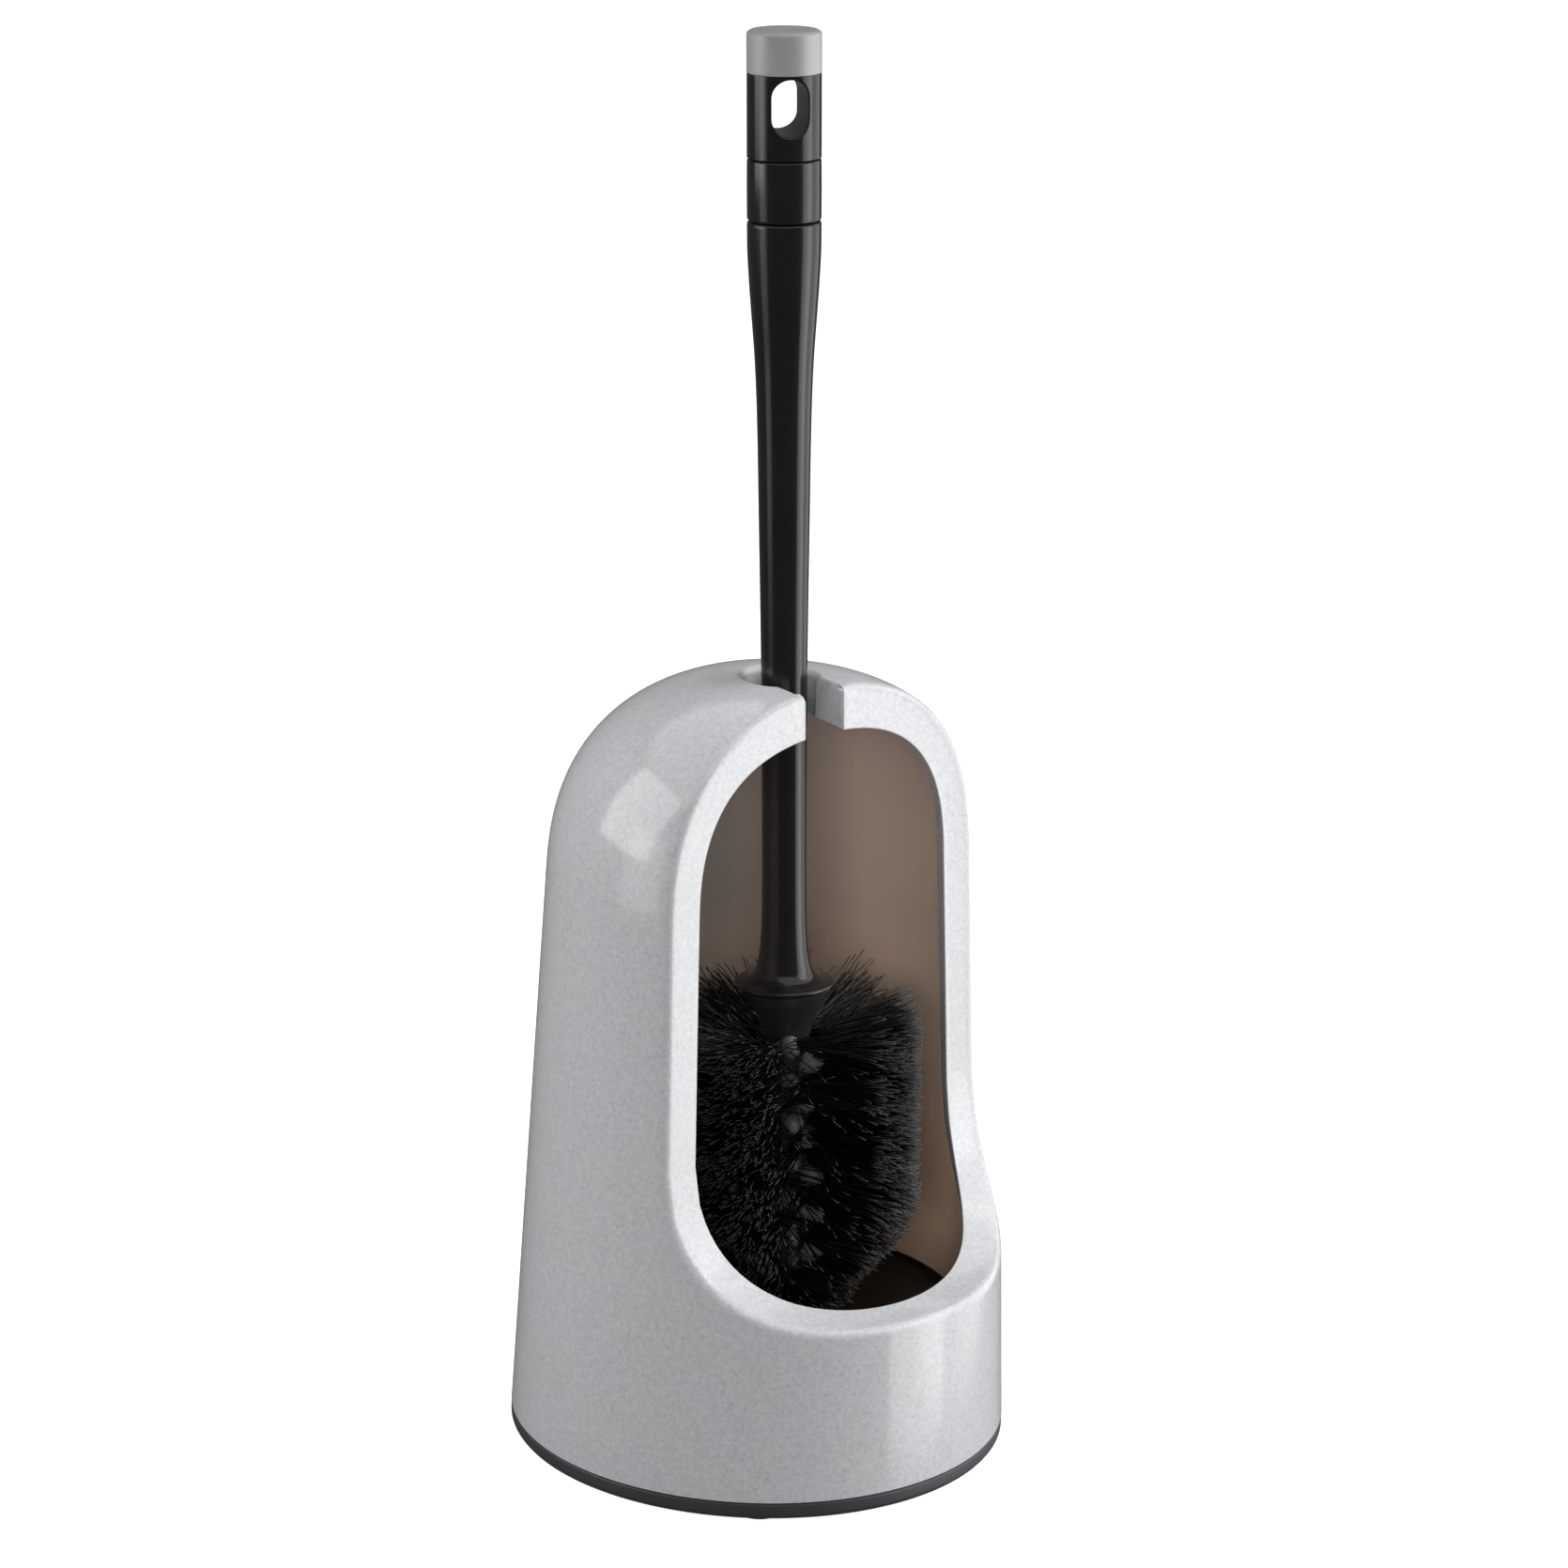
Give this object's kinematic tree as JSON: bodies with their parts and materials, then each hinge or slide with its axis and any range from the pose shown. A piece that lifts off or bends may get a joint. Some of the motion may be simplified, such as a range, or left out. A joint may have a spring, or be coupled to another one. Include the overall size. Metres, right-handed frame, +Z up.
{
  "type": "toilet brush holder",
  "caption": "Double-walled stand, open at the front and slotted through its domed top, holding a loose round-headed toilet brush that lifts off its drip tray.",
  "frame": {"origin": "centre of the round base, on the floor", "axes": "+Z up, the height of the brush; -Y to the front, where the opening and the slot face"},
  "size_m": [0.13, 0.13, 0.3692],
  "materials": {
    "shell_plastic": "light grey plastic with a fine darker speckle, glossy",
    "liner_plastic": "taupe plastic, soft gloss",
    "tray_plastic": "black plastic, satin",
    "base_plastic": "charcoal plastic, satin",
    "foot_rubber": "black rubber, matte",
    "screw_steel": "zinc-plated steel",
    "handle_plastic": "black plastic, glossy",
    "cap_plastic": "mid grey plastic, satin gloss",
    "core_plastic": "black plastic, satin",
    "bristle_nylon": "black nylon bristles"
  },
  "bodies": {
    "stand": {"outer_shell": "shell_plastic", "inner_liner": "liner_plastic", "drip_tray": "tray_plastic", "base_plate": "base_plastic", "foot_pad_1": "foot_rubber", "foot_pad_2": "foot_rubber", "foot_pad_3": "foot_rubber", "foot_pad_4": "foot_rubber", "base_screw_1": "screw_steel", "base_screw_2": "screw_steel", "base_screw_3": "screw_steel", "base_screw_4": "screw_steel"},
    "brush": {"end_cap": "cap_plastic", "grip_top": "handle_plastic", "grip_band": "handle_plastic", "handle_shaft": "handle_plastic", "head_core": "core_plastic", "bristle_tip": "bristle_nylon", "bristle_row_1": "bristle_nylon", "bristle_row_2": "bristle_nylon", "bristle_row_3": "bristle_nylon", "bristle_row_4": "bristle_nylon", "bristle_row_5": "bristle_nylon", "bristle_row_6": "bristle_nylon", "bristle_row_7": "bristle_nylon", "bristle_row_8": "bristle_nylon", "bristle_row_9": "bristle_nylon"}
  },
  "joints": [
    {"name": "brush_lift", "type": "slide", "parent": "stand", "child": "brush", "axis": [0, 0.0436, 0.9991], "range_m": [0, 0.055]}
  ]
}
